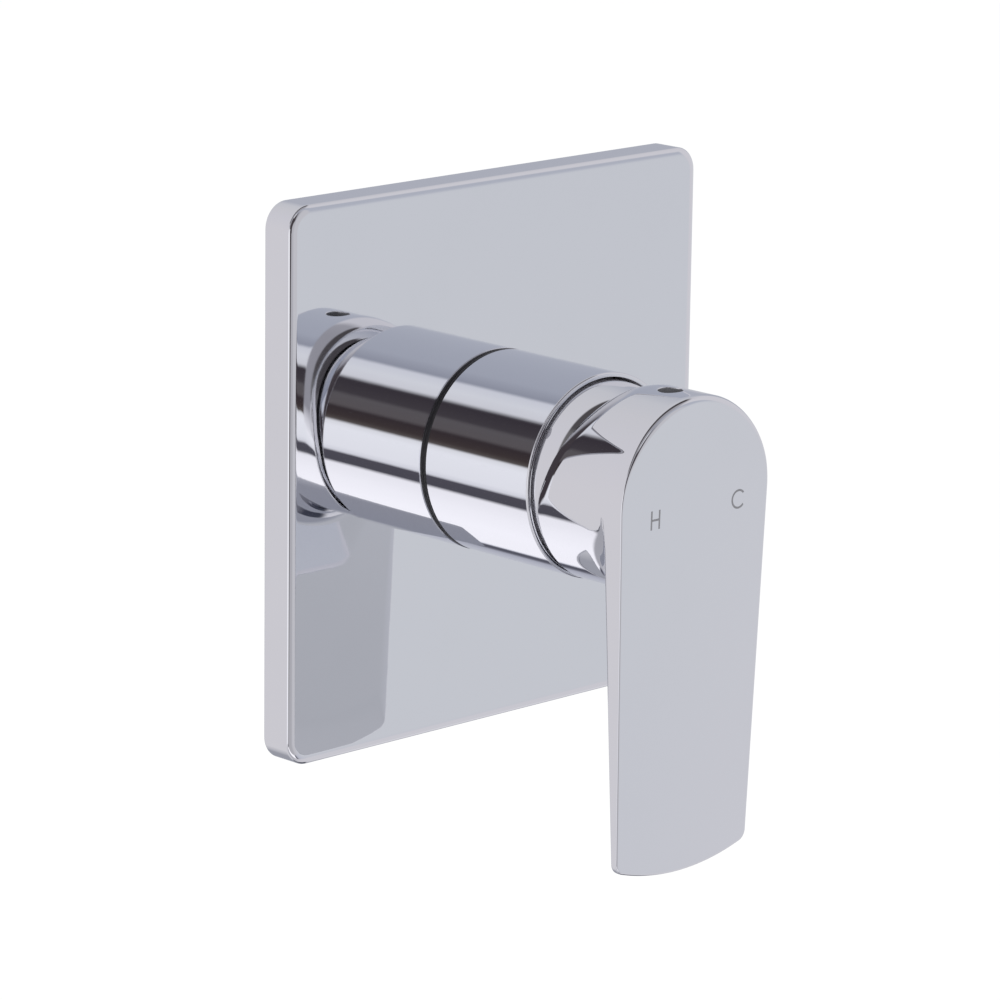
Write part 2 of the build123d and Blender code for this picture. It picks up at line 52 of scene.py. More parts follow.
camera_data = bpy.data.cameras.new("camera")
camera_data.lens = camera_lens
camera_data.sensor_width = camera_sensor
camera_data.clip_start = camera_near
camera = bpy.data.objects.new("camera", camera_data)
bpy.context.scene.collection.objects.link(camera)
turn = Matrix.Rotation(math.radians(camera_azimuth), 4, "Z")
tip = Matrix.Rotation(math.radians(90 - camera_elevation), 4, "X")
lean = Matrix.Rotation(math.radians(camera_roll), 4, "Z")
camera.matrix_world = Matrix.Translation(camera_place) @ turn @ tip @ lean
bpy.context.scene.camera = camera
bpy.context.scene.view_settings.view_transform = "Standard"


# Studio: the room that the plating mirrors. Soft boxes and black flags stand in front of the
# wall as sectors round the mixer's axis, and the room behind it is an even light grey.
class Value:
    """A shader socket that adds Math nodes when it is used in arithmetic."""

    def __init__(self, shader, socket):
        self.shader = shader
        self.socket = socket

    def maths(self, operation, *values):
        inputs = dict(enumerate(values))
        return self.shader.node("ShaderNodeMath", {"operation": operation}, inputs)

    def __add__(self, other):
        return self.maths("ADD", self, other)

    def __sub__(self, other):
        return self.maths("SUBTRACT", self, other)

    def __rsub__(self, other):
        return self.maths("SUBTRACT", other, self)

    def __mul__(self, other):
        return self.maths("MULTIPLY", self, other)

    def __truediv__(self, other):
        return self.maths("DIVIDE", self, other)

    __radd__ = __add__
    __rmul__ = __mul__

    def between(self, low, high):
        """0 below low, 1 above high and a soft step from one to the other."""
        settings = {"interpolation_type": "SMOOTHSTEP"}
        return self.shader.node("ShaderNodeMapRange", settings, {0: self, 1: low, 2: high})

    def power(self, exponent):
        return self.maths("POWER", self, exponent)

    def clamp(self):
        return self.shader.node("ShaderNodeClamp", {}, {0: self, 1: 0.0, 2: 1.0})


class Shader:
    """Builds one node tree."""

    def __init__(self, tree):
        self.tree = tree
        tree.nodes.clear()

    def node(self, kind, settings=None, inputs=None, output=0):
        """Any node: its settings first, a ramp's stops among them, then its sockets."""
        made = self.tree.nodes.new(kind)
        for key, value in (settings or {}).items():
            if key == "stops":
                self.ramp(made.color_ramp, value)
            else:
                setattr(made, key, value)
        for key, value in (inputs or {}).items():
            if isinstance(value, Value):
                self.tree.links.new(value.socket, made.inputs[key])
            elif isinstance(value, tuple) and made.inputs[key].type == "RGBA":
                made.inputs[key].default_value = (*value[:3], 1.0)
            else:
                made.inputs[key].default_value = value
        return Value(self, made.outputs[output]) if len(made.outputs) else None

    def ramp(self, ramp, stops):
        while len(ramp.elements) > 1:
            ramp.elements.remove(ramp.elements[-1])
        ramp.elements[0].position = stops[0][0]
        ramp.elements[0].color = (*stops[0][1], 1.0)
        for place, colour in stops[1:]:
            ramp.elements.new(place).color = (*colour, 1.0)

    def mix(self, factor, first, second):
        """A colour between two colours."""
        inputs = {0: factor, 6: first, 7: second}
        return self.node("ShaderNodeMix", {"data_type": "RGBA"}, inputs, 2)

    def either(self, factor, first, second):
        """A shader between two shaders."""
        return self.node("ShaderNodeMixShader", {}, {0: factor, 1: first, 2: second})

    def noise(self, where, scale, detail=2.0, roughness=0.5):
        inputs = {"Vector": where, "Scale": scale, "Detail": detail, "Roughness": roughness}
        return self.node("ShaderNodeTexNoise", {}, inputs)

    def parts(self, vector):
        """The three parts of a vector."""
        split = self.node("ShaderNodeSeparateXYZ", {}, {0: vector}).socket.node
        return [Value(self, split.outputs[index]) for index in range(3)]

    def finish(self, kind, surface):
        self.node(kind, {}, {"Surface": surface})


# Angles are degrees round the mixer's axis, from the user's right up over the top. Each step
# is how far forward, or away, a mirror ray goes where one set of bands gives way to the next.
studio_bands = [
    (-180, (0.96, 0.96, 1.00)), (-158, (0.93, 0.93, 0.97)), (-153.0, (0.80, 0.80, 0.85)),
    (-150.5, (0.09, 0.085, 0.105)), (-140.5, (0.085, 0.082, 0.10)), (-137.0, (1.02, 1.0, 1.04)),
    (-120, (1.10, 1.08, 1.12)), (-100, (1.15, 1.13, 1.17)), (-71.5, (1.12, 1.10, 1.14)),
    (-69, (0.80, 0.80, 0.87)), (-67.5, (0.24, 0.24, 0.28)), (-64.5, (0.078, 0.08, 0.105)),
    (-60, (0.165, 0.165, 0.20)), (-55.5, (0.47, 0.48, 0.55)), (-46, (0.55, 0.56, 0.63)),
    (-22, (0.62, 0.635, 0.675)), (-8, (0.60, 0.615, 0.66)), (8, (0.47, 0.49, 0.56)),
    (78, (0.42, 0.44, 0.51)), (93.5, (0.33, 0.345, 0.41)), (97.5, (0.72, 0.73, 0.79)),
    (108, (0.78, 0.79, 0.83)), (119, (0.74, 0.74, 0.78)), (124.0, (0.045, 0.038, 0.047)),
    (139, (0.06, 0.052, 0.06)), (143, (0.115, 0.105, 0.112)), (154, (0.115, 0.102, 0.107)),
    (158, (0.042, 0.032, 0.036)), (167, (0.055, 0.042, 0.042)), (171.5, (0.10, 0.085, 0.08)),
    (174.5, (0.86, 0.86, 0.89)), (180, (0.96, 0.96, 1.00)),
]
middle_bands = [
    (-180, (0.055, 0.045, 0.052)), (-152, (0.055, 0.045, 0.052)), (-146, (0.44, 0.435, 0.465)),
    (-70, (0.46, 0.455, 0.49)), (-45, (0.58, 0.575, 0.61)), (45, (0.56, 0.555, 0.59)),
    (60, (0.45, 0.445, 0.48)), (76, (0.33, 0.325, 0.36)), (88, (0.11, 0.10, 0.11)),
    (98, (0.06, 0.05, 0.057)), (180, (0.06, 0.05, 0.057)),
]
middle_colour = (0.50, 0.495, 0.53)
side_bands = [
    (-180, (0.85, 0.84, 0.88)), (-170, (1.0, 0.99, 1.03)), (-160, (0.95, 0.94, 0.98)),
    (-148, (0.66, 0.65, 0.69)), (-130, (0.48, 0.48, 0.52)), (-95, (0.45, 0.45, 0.49)),
    (-70, (0.60, 0.59, 0.63)), (-50, (0.655, 0.645, 0.685)), (50, (0.655, 0.645, 0.685)),
    (60, (0.38, 0.375, 0.41)), (78, (0.34, 0.335, 0.37)), (130, (0.34, 0.335, 0.37)),
    (160, (0.34, 0.335, 0.37)), (172, (0.72, 0.71, 0.75)), (180, (0.85, 0.84, 0.88)),
]
level_bands = [
    (-180, (0.67, 0.66, 0.70)), (-95, (0.60, 0.60, 0.64)), (-88, (0.22, 0.22, 0.25)),
    (-72, (0.17, 0.17, 0.20)), (-66, (0.05, 0.052, 0.075)), (-54, (0.05, 0.055, 0.075)),
    (-50, (0.72, 0.71, 0.75)), (-40, (0.70, 0.69, 0.73)), (40, (0.64, 0.63, 0.67)),
    (51, (0.60, 0.59, 0.63)), (57, (0.072, 0.065, 0.07)), (118, (0.08, 0.074, 0.08)),
    (125, (0.15, 0.145, 0.15)), (148, (0.15, 0.145, 0.15)), (156, (0.65, 0.64, 0.68)),
    (180, (0.67, 0.66, 0.70)),
]
room_behind = [
    (-180, (0.67, 0.655, 0.69)), (-118, (0.67, 0.66, 0.69)), (-100, (0.50, 0.50, 0.54)),
    (-88, (0.35, 0.355, 0.40)), (-48, (0.32, 0.33, 0.38)), (-38, (0.51, 0.515, 0.55)),
    (-30, (0.50, 0.507, 0.54)), (-27, (0.485, 0.493, 0.525)), (-23.5, (0.505, 0.513, 0.545)),
    (-20, (0.56, 0.565, 0.61)), (-6, (0.56, 0.565, 0.61)), (8, (0.43, 0.445, 0.51)),
    (30, (0.44, 0.455, 0.52)), (58, (0.585, 0.59, 0.63)), (85, (0.62, 0.615, 0.65)),
    (130, (0.645, 0.635, 0.68)), (180, (0.67, 0.655, 0.69)),
]
middle_step = (0.965, 0.99)
front_step = (0.745, 0.79)
side_step = (0.675, 0.60)
level_step = (0.29, 0.24)
behind_step = (0.15, 0.19)
studio_ripple = 0.006
plain_light = 0.72
key_size = (1.6, 1.2)
key_power = 16.0
key_place = (-1.3, -1.6, 1.9)

world = bpy.data.worlds.new("studio")
world.use_nodes = True
bpy.context.scene.world = world
studio = Shader(world.node_tree)
direction = studio.node("ShaderNodeTexCoord")
across, away, up = studio.parts(direction)
ripple = studio.noise(direction, 7.0, 4.0, 0.6) * studio_ripple - studio_ripple / 2
angle = up.maths("ARCTAN2", up, across) / (2 * math.pi) + 0.5 + ripple


def sectors(bands):
    """Colours round the axis from a list of angles in degrees."""
    stops = [((degrees + 180) / 360, colour) for degrees, colour in bands]
    return studio.node("ShaderNodeValToRGB", {"stops": stops}, {0: angle})


forward = away * -1
near_middle = studio.mix(forward.between(*middle_step), sectors(middle_bands), middle_colour)
front = studio.mix(forward.between(*front_step), sectors(studio_bands), near_middle)
front = studio.mix(forward.between(*side_step), front, sectors(side_bands))
front = studio.mix(forward.between(*level_step), front, sectors(level_bands))
seen = studio.mix(away.between(*behind_step), front, sectors(room_behind))
light_path = studio.node("ShaderNodeLightPath").socket.node
camera_ray = Value(studio, light_path.outputs["Is Camera Ray"])
glossy_ray = Value(studio, light_path.outputs["Is Glossy Ray"])
even = studio.mix(camera_ray, (plain_light,) * 3, (1.0,) * 3)
light = studio.mix(glossy_ray, even, seen)
studio.finish("ShaderNodeOutputWorld", studio.node("ShaderNodeBackground", {}, {0: light, 1: 1.0}))

key_data = bpy.data.lights.new("key_light", "AREA")
key_data.shape = "RECTANGLE"
key_data.size, key_data.size_y = key_size
key_data.energy = key_power
key_light = bpy.data.objects.new("key_light", key_data)
key_light.location = key_place
key_light.rotation_euler = (-Vector(key_place)).to_track_quat("-Z", "Y").to_euler()
key_light.visible_glossy = False
bpy.context.scene.collection.objects.link(key_light)


# Floor: a plain white studio sweep, far enough below the mixer that only a faint shadow falls
# on it. Mirror rays pass through it, so that the plating keeps the room's own streaks.
floor_height = -330 * mm
floor_reach = 9.0
floor_white = 0.97
floor_glow = 1.2
floor_glow_share = 0.6


def mesh_piece(name, points, faces, smooth_angle=None):
    """A mesh object in place, in metres, with soft shading up to an angle between faces."""
    mesh = bpy.data.meshes.new(name)
    mesh.from_pydata(points, [], faces)
    mesh.validate()
    shell = bmesh.new()
    shell.from_mesh(mesh)
    bmesh.ops.recalc_face_normals(shell, faces=shell.faces)
    shell.to_mesh(mesh)
    shell.free()
    if smooth_angle is not None:
        mesh.shade_smooth()
        mesh.set_sharp_from_angle(angle=math.radians(smooth_angle))
    piece = bpy.data.objects.new(name, mesh)
    bpy.context.scene.collection.objects.link(piece)
    return piece


corners = [(-1, -1), (1, -1), (1, 1), (-1, 1)]
floor_points = [(x * floor_reach, y * floor_reach, floor_height) for x, y in corners]
floor = mesh_piece("floor", floor_points, [(0, 1, 2, 3)])
floor_paint = bpy.data.materials.new("floor_paint")
floor_paint.use_nodes = True
paint = Shader(floor_paint.node_tree)
path = paint.node("ShaderNodeLightPath").socket.node
matt = paint.node("ShaderNodeBsdfDiffuse", {}, {"Color": (floor_white,) * 3})
camera_sees = Value(paint, path.outputs["Is Camera Ray"])
glow_colour = paint.mix(camera_sees, (1.0,) * 3, (floor_glow,) * 3)
glow = paint.node("ShaderNodeEmission", {}, {"Color": glow_colour, "Strength": 1.0})
shown = paint.either(floor_glow_share, matt, glow)
clear = paint.node("ShaderNodeBsdfTransparent")
mirror_sees = Value(paint, path.outputs["Is Glossy Ray"])
paint.finish("ShaderNodeOutputMaterial", paint.either(mirror_sees, shown, clear))
floor.data.materials.append(floor_paint)


# Mixer body: a hot pressed brass body in the wall, its skin rough from the die. The neck, the
# ends of the pipe bosses and their mouths are turned bright, with a pipe thread in each mouth.
pipe_depth = 16.0
boss_side_end = 36.0
boss_top_end = 38.0
thread_radius = 9.6
thread_pitch = 1.814
thread_height = 0.6
thread_fade = 0.15
end_cut = (0.4, 0.2)
neck_start = (1.0, -1.0)
turning_pitch = 0.5
object_place = 3
scale_brown = (0.46, 0.32, 0.15)
cast_brass = (0.70, 0.53, 0.28)
turned_brass = (0.83, 0.66, 0.38)


def material(name, build):
    """A new material whose node tree is built by a function that gives its surface."""
    made = bpy.data.materials.new(name)
    made.use_nodes = True
    shader = Shader(made.node_tree)
    where = shader.node("ShaderNodeTexCoord", {}, {}, object_place)
    shader.finish("ShaderNodeOutputMaterial", build(shader, where))
    return made


def bump(shader, height, distance, strength=1.0):
    inputs = {"Height": height, "Distance": distance * mm, "Strength": strength}
    return shader.node("ShaderNodeBump", {}, inputs)


def surface(shader, colour, metallic, roughness, normal):
    inputs = {"Base Color": colour, "Metallic": metallic, "Roughness": roughness, "Normal": normal}
    return shader.node("ShaderNodeBsdfPrincipled", {}, inputs)


def coat(finish, *names):
    """Gives its finish to a piece that keeps the shape of the solid."""
    for name in names:
        mesh = nodes[name].data
        mesh.materials.clear()
        mesh.materials.append(finish)


def ridges(along, pitch):
    """Even ridges along a line, from 0 in the grooves to 1 on the crests."""
    return (along * (2 * math.pi / (pitch * mm))).maths("SINE") * 0.5 + 0.5


def distance_to(first, second):
    return (first * first + second * second).power(0.5)


def end_face(along, end):
    """1 on a face at a distance from the middle of the body, 0 before it."""
    return along.maths("ABSOLUTE").between(*((end - cut) * mm for cut in end_cut))


def brass_casting(shader, where):
    across, away, up = shader.parts(where)
    grain = shader.noise(where, 1300.0, 3.0, 0.65)
    patches = shader.noise(where, 42.0, 3.0, 0.6).between(0.35, 0.7)
    neck = away.between(*(start * mm for start in neck_start))
    side_end = end_face(across, boss_side_end)
    top_end = end_face(up, boss_top_end)
    depth = away - pipe_depth * mm
    inside = (thread_radius * mm, (thread_radius - thread_fade) * mm)
    side_bore = distance_to(depth, up).between(*inside)
    top_bore = distance_to(depth, across).between(*inside)
    turned = (neck + side_end + top_end + side_bore + top_bore).clamp()
    threads = side_bore * ridges(across, thread_pitch) + top_bore * ridges(up, thread_pitch)
    tool_marks = neck * ridges(away, turning_pitch)
    skin_colour = shader.mix(patches, scale_brown, cast_brass)
    colour = shader.mix(turned, skin_colour, turned_brass)
    height = threads + tool_marks * 0.02 + grain * (1 - turned) * 0.16
    roughness = 0.26 + (1 - turned) * (0.2 + grain * 0.14)
    return surface(shader, colour, 1.0, roughness, bump(shader, height, thread_height))


coat(material("pressed_brass", brass_casting), "mixer_body")


# Mounting bracket and its screws: a flat steel plate, laser cut and zinc plated, held to the
# back of the body by two countersunk socket screws with the same plating.
spangle_pale = (0.66, 0.67, 0.68)
spangle_dark = (0.50, 0.51, 0.53)


def zinc_plating(shader, where):
    spangle = shader.node("ShaderNodeTexVoronoi", {}, {"Vector": where, "Scale": 260.0}, 1)
    tone = shader.parts(spangle)[0]
    stain = shader.noise(where, 60.0, 4.0, 0.6)
    scratch = shader.noise(where, 900.0, 2.0, 0.5)
    colour = shader.mix(tone * 0.7 + stain * 0.3, spangle_dark, spangle_pale)
    return surface(shader, colour, 1.0, 0.28 + tone * 0.12 + stain * 0.1, bump(shader, scratch, 0.03))


coat(material("zinc_plated_steel", zinc_plating), "mounting_bracket", "bracket_screws")


# Bottom plug and washer: a brass plug with a hexagon head and a turned flange closes the outlet
# that a shower doesn't use, on a pressed washer of hard black rubber.
turned_dark = (0.66, 0.49, 0.24)
tool_wander = 0.2 * mm


def turning(axis):
    """Turned brass with fine tool marks that run round one of the part's axes."""

    def build(shader, where):
        along = shader.parts(where)[axis]
        marks = ridges(along + shader.noise(where, 30.0, 1.0, 0.4) * tool_wander, turning_pitch)
        handled = shader.noise(where, 90.0, 4.0, 0.6).between(0.4, 0.75)
        colour = shader.mix(handled * 0.6 + marks * 0.15, turned_brass, turned_dark)
        return surface(shader, colour, 1.0, 0.2 + handled * 0.14, bump(shader, marks, 0.015))

    return build


coat(material("turned_brass_plug", turning(2)), "bottom_plug")


def moulded_rubber(shader, where):
    bloom = shader.noise(where, 160.0, 4.0, 0.65).between(0.4, 0.8)
    grain = shader.noise(where, 2600.0, 2.0, 0.5)
    colour = shader.mix(bloom, (0.016, 0.015, 0.018), (0.04, 0.039, 0.043))
    return surface(shader, colour, 0.0, 0.42 + bloom * 0.2, bump(shader, grain, 0.02))


rubber = material("black_rubber", moulded_rubber)
coat(rubber, "plug_washer")


# Inlet filters: a round grid with a rim and crossed bars, all of close woven steel wire, pressed
# in behind each inlet's thread to keep grit out of the cartridge.
gauze_pitch = 0.42


def gauze(shader, where):
    _, away, up = shader.parts(where)
    warp = ridges(away, gauze_pitch)
    weft = ridges(up, gauze_pitch)
    wires = warp.maths("MAXIMUM", weft)
    stain = shader.noise(where, 200.0, 3.0, 0.6)
    # The gaps between the wires are painted near black as painted shade, for the dark seen through the
    # mesh.
    colour = shader.mix(wires.between(0.45, 0.85), (0.05, 0.05, 0.05), (0.62, 0.62, 0.60))
    return surface(shader, colour, 1.0, 0.25 + stain * 0.2, bump(shader, wires, 0.12))


coat(material("woven_gauze", gauze), "inlet_filters")


# Cartridge base, its seals and the two ceramic discs: a moulded acetal base with the ports,
# black rubber rings in its grooves, and discs of fired and lapped alumina.
def white_moulding_skin(shader, where):
    flow = shader.noise(where, 75.0, 3.0, 0.5)
    grain = shader.noise(where, 2200.0, 2.0, 0.5)
    colour = shader.mix(flow, (0.78, 0.78, 0.75), (0.86, 0.86, 0.84))
    return surface(shader, colour, 0.0, 0.34 + grain * 0.1, bump(shader, grain, 0.02))


def alumina(shader, where):
    cloud = shader.noise(where, 130.0, 4.0, 0.6)
    specks = shader.noise(where, 3200.0, 1.0, 0.5).between(0.70, 0.76)
    colour = shader.mix(cloud, (0.83, 0.83, 0.80), (0.90, 0.90, 0.88))
    colour = shader.mix(specks * 0.5, colour, (0.55, 0.55, 0.54))
    return surface(shader, colour, 0.0, 0.12 + cloud * 0.06, bump(shader, specks, 0.005))


white_moulding = material("white_moulding", white_moulding_skin)
ceramic = material("lapped_ceramic", alumina)
coat(white_moulding, "cartridge_base")
coat(rubber, "base_seals", "disc_seals")
coat(ceramic, "fixed_disc", "moving_disc")


# Disc carrier, stem guide, friction ring and pivot pin: mouldings that turn and slide inside the
# cartridge, a low friction ring under the guide's flange and a ground steel pin.
def grey_moulding_skin(shader, where):
    flow = shader.noise(where, 60.0, 4.0, 0.55)
    grain = shader.noise(where, 1900.0, 2.0, 0.6)
    colour = shader.mix(flow, (0.40, 0.42, 0.44), (0.50, 0.52, 0.54))
    return surface(shader, colour, 0.0, 0.38 + grain * 0.14, bump(shader, grain, 0.03))


def blue_moulding_skin(shader, where):
    flow = shader.noise(where, 140.0, 3.0, 0.5)
    grain = shader.noise(where, 2400.0, 2.0, 0.5)
    colour = shader.mix(flow, (0.06, 0.13, 0.32), (0.11, 0.21, 0.44))
    return surface(shader, colour, 0.0, 0.3 + grain * 0.1, bump(shader, grain, 0.015))


def ground_steel(shader, where):
    streaks = shader.noise(where, 2400.0, 3.0, 0.7)
    stain = shader.noise(where, 120.0, 3.0, 0.6)
    colour = shader.mix(streaks * 0.6 + stain * 0.4, (0.50, 0.50, 0.52), (0.68, 0.68, 0.69))
    return surface(shader, colour, 1.0, 0.2 + streaks * 0.15, bump(shader, streaks, 0.01))


grey_moulding = material("grey_moulding", grey_moulding_skin)
coat(white_moulding, "disc_carrier")
coat(grey_moulding, "stem_guide")
coat(material("blue_moulding", blue_moulding_skin), "friction_ring")
coat(material("ground_steel", ground_steel), "pivot_pin")


# Cartridge housing, ring nut and stem: a glass filled shell that drops into the neck, a turned
# brass nut that clamps it and a brass stem, milled square where the lever sits on it.
nut_brass = material("turned_brass_nut", turning(1))
coat(grey_moulding, "cartridge_housing")
coat(nut_brass, "cartridge_nut", "stem")


# Gasket and rubber rings: a frame of closed cell foam stuck behind the plate, a black rubber
# ring in the plate's hole and two more in the neck's grooves under the collar.
def closed_cell_foam(shader, where):
    cells = shader.node("ShaderNodeTexVoronoi", {}, {"Vector": where, "Scale": 1500.0})
    dust = shader.noise(where, 90.0, 3.0, 0.6)
    # The cell pits, sunk by the bump, are painted darker than the cell walls as painted shade; the dust
    # noise varies the tone at random.
    colour = shader.mix(cells * 0.7 + dust * 0.3, (0.055, 0.055, 0.06), (0.13, 0.13, 0.14))
    return surface(shader, colour, 0.0, 0.78 + dust * 0.15, bump(shader, cells, 0.15))


coat(material("closed_cell_foam", closed_cell_foam), "plate_gasket")
coat(rubber, "plate_o_ring", "collar_o_rings")


# Wall plate: a square brass pressing with a hollow back, ground flat, polished and chrome
# plated. Its front edge is rolled to a small round and the middle has a hole for the neck.
plate_half = 65.0
plate_corner = 6.0
plate_least_corner = 0.5
plate_front = 8.6
plate_edge_width = 2.1
plate_edge_depth = 1.05
plate_face_margin = 0.3
plate_side_margin = 0.15
plate_back_round = 0.3
plate_rim = 3.0
plate_face_wall = 3.0
plate_hole = 22.3
plate_hub = 26.3
plate_hole_round = 0.25
plate_hole_margin = 0.1
small_steps = 3
arc_steps = 8
edge_steps = 16
corner_steps = 14
side_steps = 10
chrome_colour = (0.875, 0.88, 0.905)
smear_colour = (0.862, 0.868, 0.892)


def rounded_square(half, corner, forward):
    """One loop round a rounded square that faces the user, as points in millimetres."""
    loop = []
    centres = [(1, 1), (-1, 1), (-1, -1), (1, -1)]
    for quarter, (sx, sz) in enumerate(centres):
        start = quarter * math.pi / 2
        cx = sx * (half - corner)
        cz = sz * (half - corner)
        for step in range(corner_steps + 1):
            turned = start + step / corner_steps * math.pi / 2
            loop.append((cx + corner * math.cos(turned), -forward, cz + corner * math.sin(turned)))
        last = loop[-1]
        nx, nz = centres[(quarter + 1) % 4]
        turned = start + math.pi / 2
        next_x = nx * (half - corner) + corner * math.cos(turned)
        next_z = nz * (half - corner) + corner * math.sin(turned)
        for step in range(1, side_steps):
            share = step / side_steps
            x = last[0] + (next_x - last[0]) * share
            z = last[2] + (next_z - last[2]) * share
            loop.append((x, -forward, z))
    return loop


def circle_like(loop, radius, forward):
    """A circle with a point in the direction of each point of a loop."""
    circle = []
    for x, _, z in loop:
        length = math.hypot(x, z)
        circle.append((x / length * radius, -forward, z / length * radius))
    return circle


def skin(name, loops, ends="join", smooth_angle=32):
    """A closed mesh over loops of equal length, whose ends join each other or are capped."""
    count = len(loops[0])
    points = [(x * mm, y * mm, z * mm) for loop in loops for x, y, z in loop]
    faces = []
    rows = len(loops) if ends == "join" else len(loops) - 1
    for row in range(rows):
        near = row * count
        far = (row + 1) % len(loops) * count
        for index in range(count):
            after = (index + 1) % count
            faces.append((near + index, near + after, far + after, far + index))
    if ends == "cap":
        faces.append(tuple(reversed(range(count))))
        faces.append(tuple(range((len(loops) - 1) * count, len(loops) * count)))
    return mesh_piece(name, points, faces, smooth_angle)


def quarter_round(radius, steps):
    """How far a rounded edge has come in from one face and from the next, step by step."""
    turns = [step / steps * math.pi / 2 for step in range(steps + 1)]
    return [(radius * (1 - math.cos(turned)), radius * (1 - math.sin(turned))) for turned in turns]


def plate_loop(inset, forward):
    corner = max(plate_corner - inset, plate_least_corner)
    return rounded_square(plate_half - inset, corner, forward)


outline = plate_loop(0, 0)
plate_loops = []
for down, inward in quarter_round(plate_hole_round, small_steps):
    plate_loops.append(circle_like(outline, plate_hole + down, plate_front - inward))
hole_edge = plate_hole + plate_hole_round + plate_hole_margin
plate_loops.append(circle_like(outline, hole_edge, plate_front))
plate_loops.append(plate_loop(plate_edge_width + plate_face_margin, plate_front))
for step in range(edge_steps + 1):
    turned = math.pi / 2 * step / edge_steps
    inward = plate_edge_width * (1 - math.sin(turned))
    plate_loops.append(plate_loop(inward, plate_front - plate_edge_depth * (1 - math.cos(turned))))
plate_loops.append(plate_loop(0, plate_front - plate_edge_depth - plate_side_margin))
plate_loops.append(plate_loop(0, plate_back_round + plate_hole_margin))
for inward, down in quarter_round(plate_back_round, small_steps):
    plate_loops.append(plate_loop(inward, down))
hollow_floor = plate_front - plate_face_wall
plate_loops.append(plate_loop(plate_rim, 0))
plate_loops.append(plate_loop(plate_rim, hollow_floor))
plate_loops.append(circle_like(outline, plate_hub, hollow_floor))
plate_loops.append(circle_like(outline, plate_hub, 0))
plate_loops.append(circle_like(outline, plate_hole, 0))


def plating(shader, where):
    """Polished chrome plating: even colour, faint polishing swirls and finger smears."""
    smear = shader.noise(where, 38.0, 3.0, 0.6).between(0.45, 0.75)
    fine = shader.noise(where, 900.0, 2.0, 0.5)
    colour = shader.mix(smear * 0.5, chrome_colour, smear_colour)
    waves = shader.noise(where, 60.0, 3.0, 0.5)
    roughness = smear * 0.02 + fine * 0.012 + 0.012
    return surface(shader, colour, 1.0, roughness, bump(shader, waves, 0.02, 0.35))


chrome = material("polished_chrome", plating)


def dress(piece, body, finish, slot, *replaced):
    """Gives a new piece its material and the body that it rides on, and hides the nodes that it
    replaces.
    """
    piece.data.materials.append(finish)
    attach(piece, body)
    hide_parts(*replaced)


def satin_plating(shader, where):
    """Thin plating over the unground pressing, as on the back that nobody sees."""
    grain = shader.noise(where, 1100.0, 3.0, 0.6)
    stain = shader.noise(where, 50.0, 3.0, 0.6)
    colour = shader.mix(stain, (0.56, 0.55, 0.53), (0.68, 0.67, 0.66))
    return surface(shader, colour, 1.0, 0.38 + grain * 0.15, bump(shader, grain, 0.05))


plate_skin = skin("wall_plate_skin", plate_loops)
dress(plate_skin, "fixed", chrome, "chrome", "wall_plate")


def finish_inside(piece, finish, inside):
    """A second finish for the faces that a test on their middle, in millimetres, picks out."""
    piece.data.materials.append(finish)
    for face in piece.data.polygons:
        x, y, z = face.center / mm
        if inside(x, -y, z):
            face.material_index = 1


face_slack = 0.05


def in_hollow_back(x, forward, z):
    in_rim = max(abs(x), abs(z)) < plate_half - plate_rim + face_slack
    return in_rim and forward < hollow_floor + face_slack


finish_inside(plate_skin, material("satin_plating", satin_plating), in_hollow_back)


# Collar seal: a flat ring of black rubber between the collar's foot and the plate, which bulges
# a little under the clamping and shows as a thick dark line.
seal_inner = 23.2
seal_outer = 23.85
seal_bulge = 0.12
seal_rear = 8.6
seal_front = 9.6
seal_steps = 8
seal_smooth = 50
turned_steps = 288


def lathe(name, profile, smooth_angle=32):
    """A closed turned form about the mixer's axis from a closed profile of radius and forward."""
    loops = []
    for radius, forward in profile:
        turns = [step / turned_steps * 2 * math.pi for step in range(turned_steps)]
        loops.append([(radius * math.cos(a), -forward, radius * math.sin(a)) for a in turns])
    return skin(name, loops, "join", smooth_angle)


seal_profile = [(seal_inner, seal_front), (seal_inner, seal_rear)]
for step in range(seal_steps + 1):
    share = step / seal_steps
    reach = seal_outer + seal_bulge * math.sin(share * math.pi) ** 0.5
    seal_profile.append((reach, seal_rear + share * (seal_front - seal_rear)))
dress(lathe("collar_foot_seal", seal_profile, seal_smooth), "fixed", rubber, "rubber", "collar_seal")


# Collar: a brass sleeve over the neck, turned, polished and plated. Its front edge has a small
# round that catches a bright line, and its rear edge sits on a thin dark seal.
collar_radius = 24.05
collar_bore = 23.0
collar_rear = 9.6
collar_front = 43.3
collar_foot = 0.2
collar_round = 0.5
collar_inner_round = 0.15
collar_straight = collar_front - collar_rear - 1.0
collar_rows = 12
collar_margin = 0.1
bore_slack = 0.01

collar_profile = [(collar_bore, collar_rear), (collar_radius - collar_foot, collar_rear)]
for step in range(collar_rows):
    row_forward = collar_rear + collar_foot + step / collar_rows * collar_straight
    collar_profile.append((collar_radius, row_forward))
collar_profile.append((collar_radius, collar_front - collar_round - collar_margin))
for down, inward in quarter_round(collar_round, arc_steps):
    collar_profile.append((collar_radius - down, collar_front - inward))
for down, inward in reversed(quarter_round(collar_inner_round, small_steps)):
    collar_profile.append((collar_bore + down, collar_front - inward))


def turned_bore(shader, where):
    """The bore that the plating only mists, dull grey with turning marks."""
    marks = ridges(shader.parts(where)[1], turning_pitch)
    tone = shader.noise(where, 300.0, 3.0, 0.6)
    colour = shader.mix(tone, (0.56, 0.55, 0.58), (0.66, 0.65, 0.68))
    return surface(shader, colour, 0.0, 0.45 + tone * 0.15, bump(shader, marks, 0.02))


def in_collar_bore(x, forward, z):
    return math.hypot(x, z) < collar_bore + bore_slack


bore_finish = material("turned_bore", turned_bore)
collar_skin = lathe("collar_sleeve", collar_profile)
dress(collar_skin, "fixed", chrome, "chrome", "collar")
finish_inside(collar_skin, bore_finish, in_collar_bore)


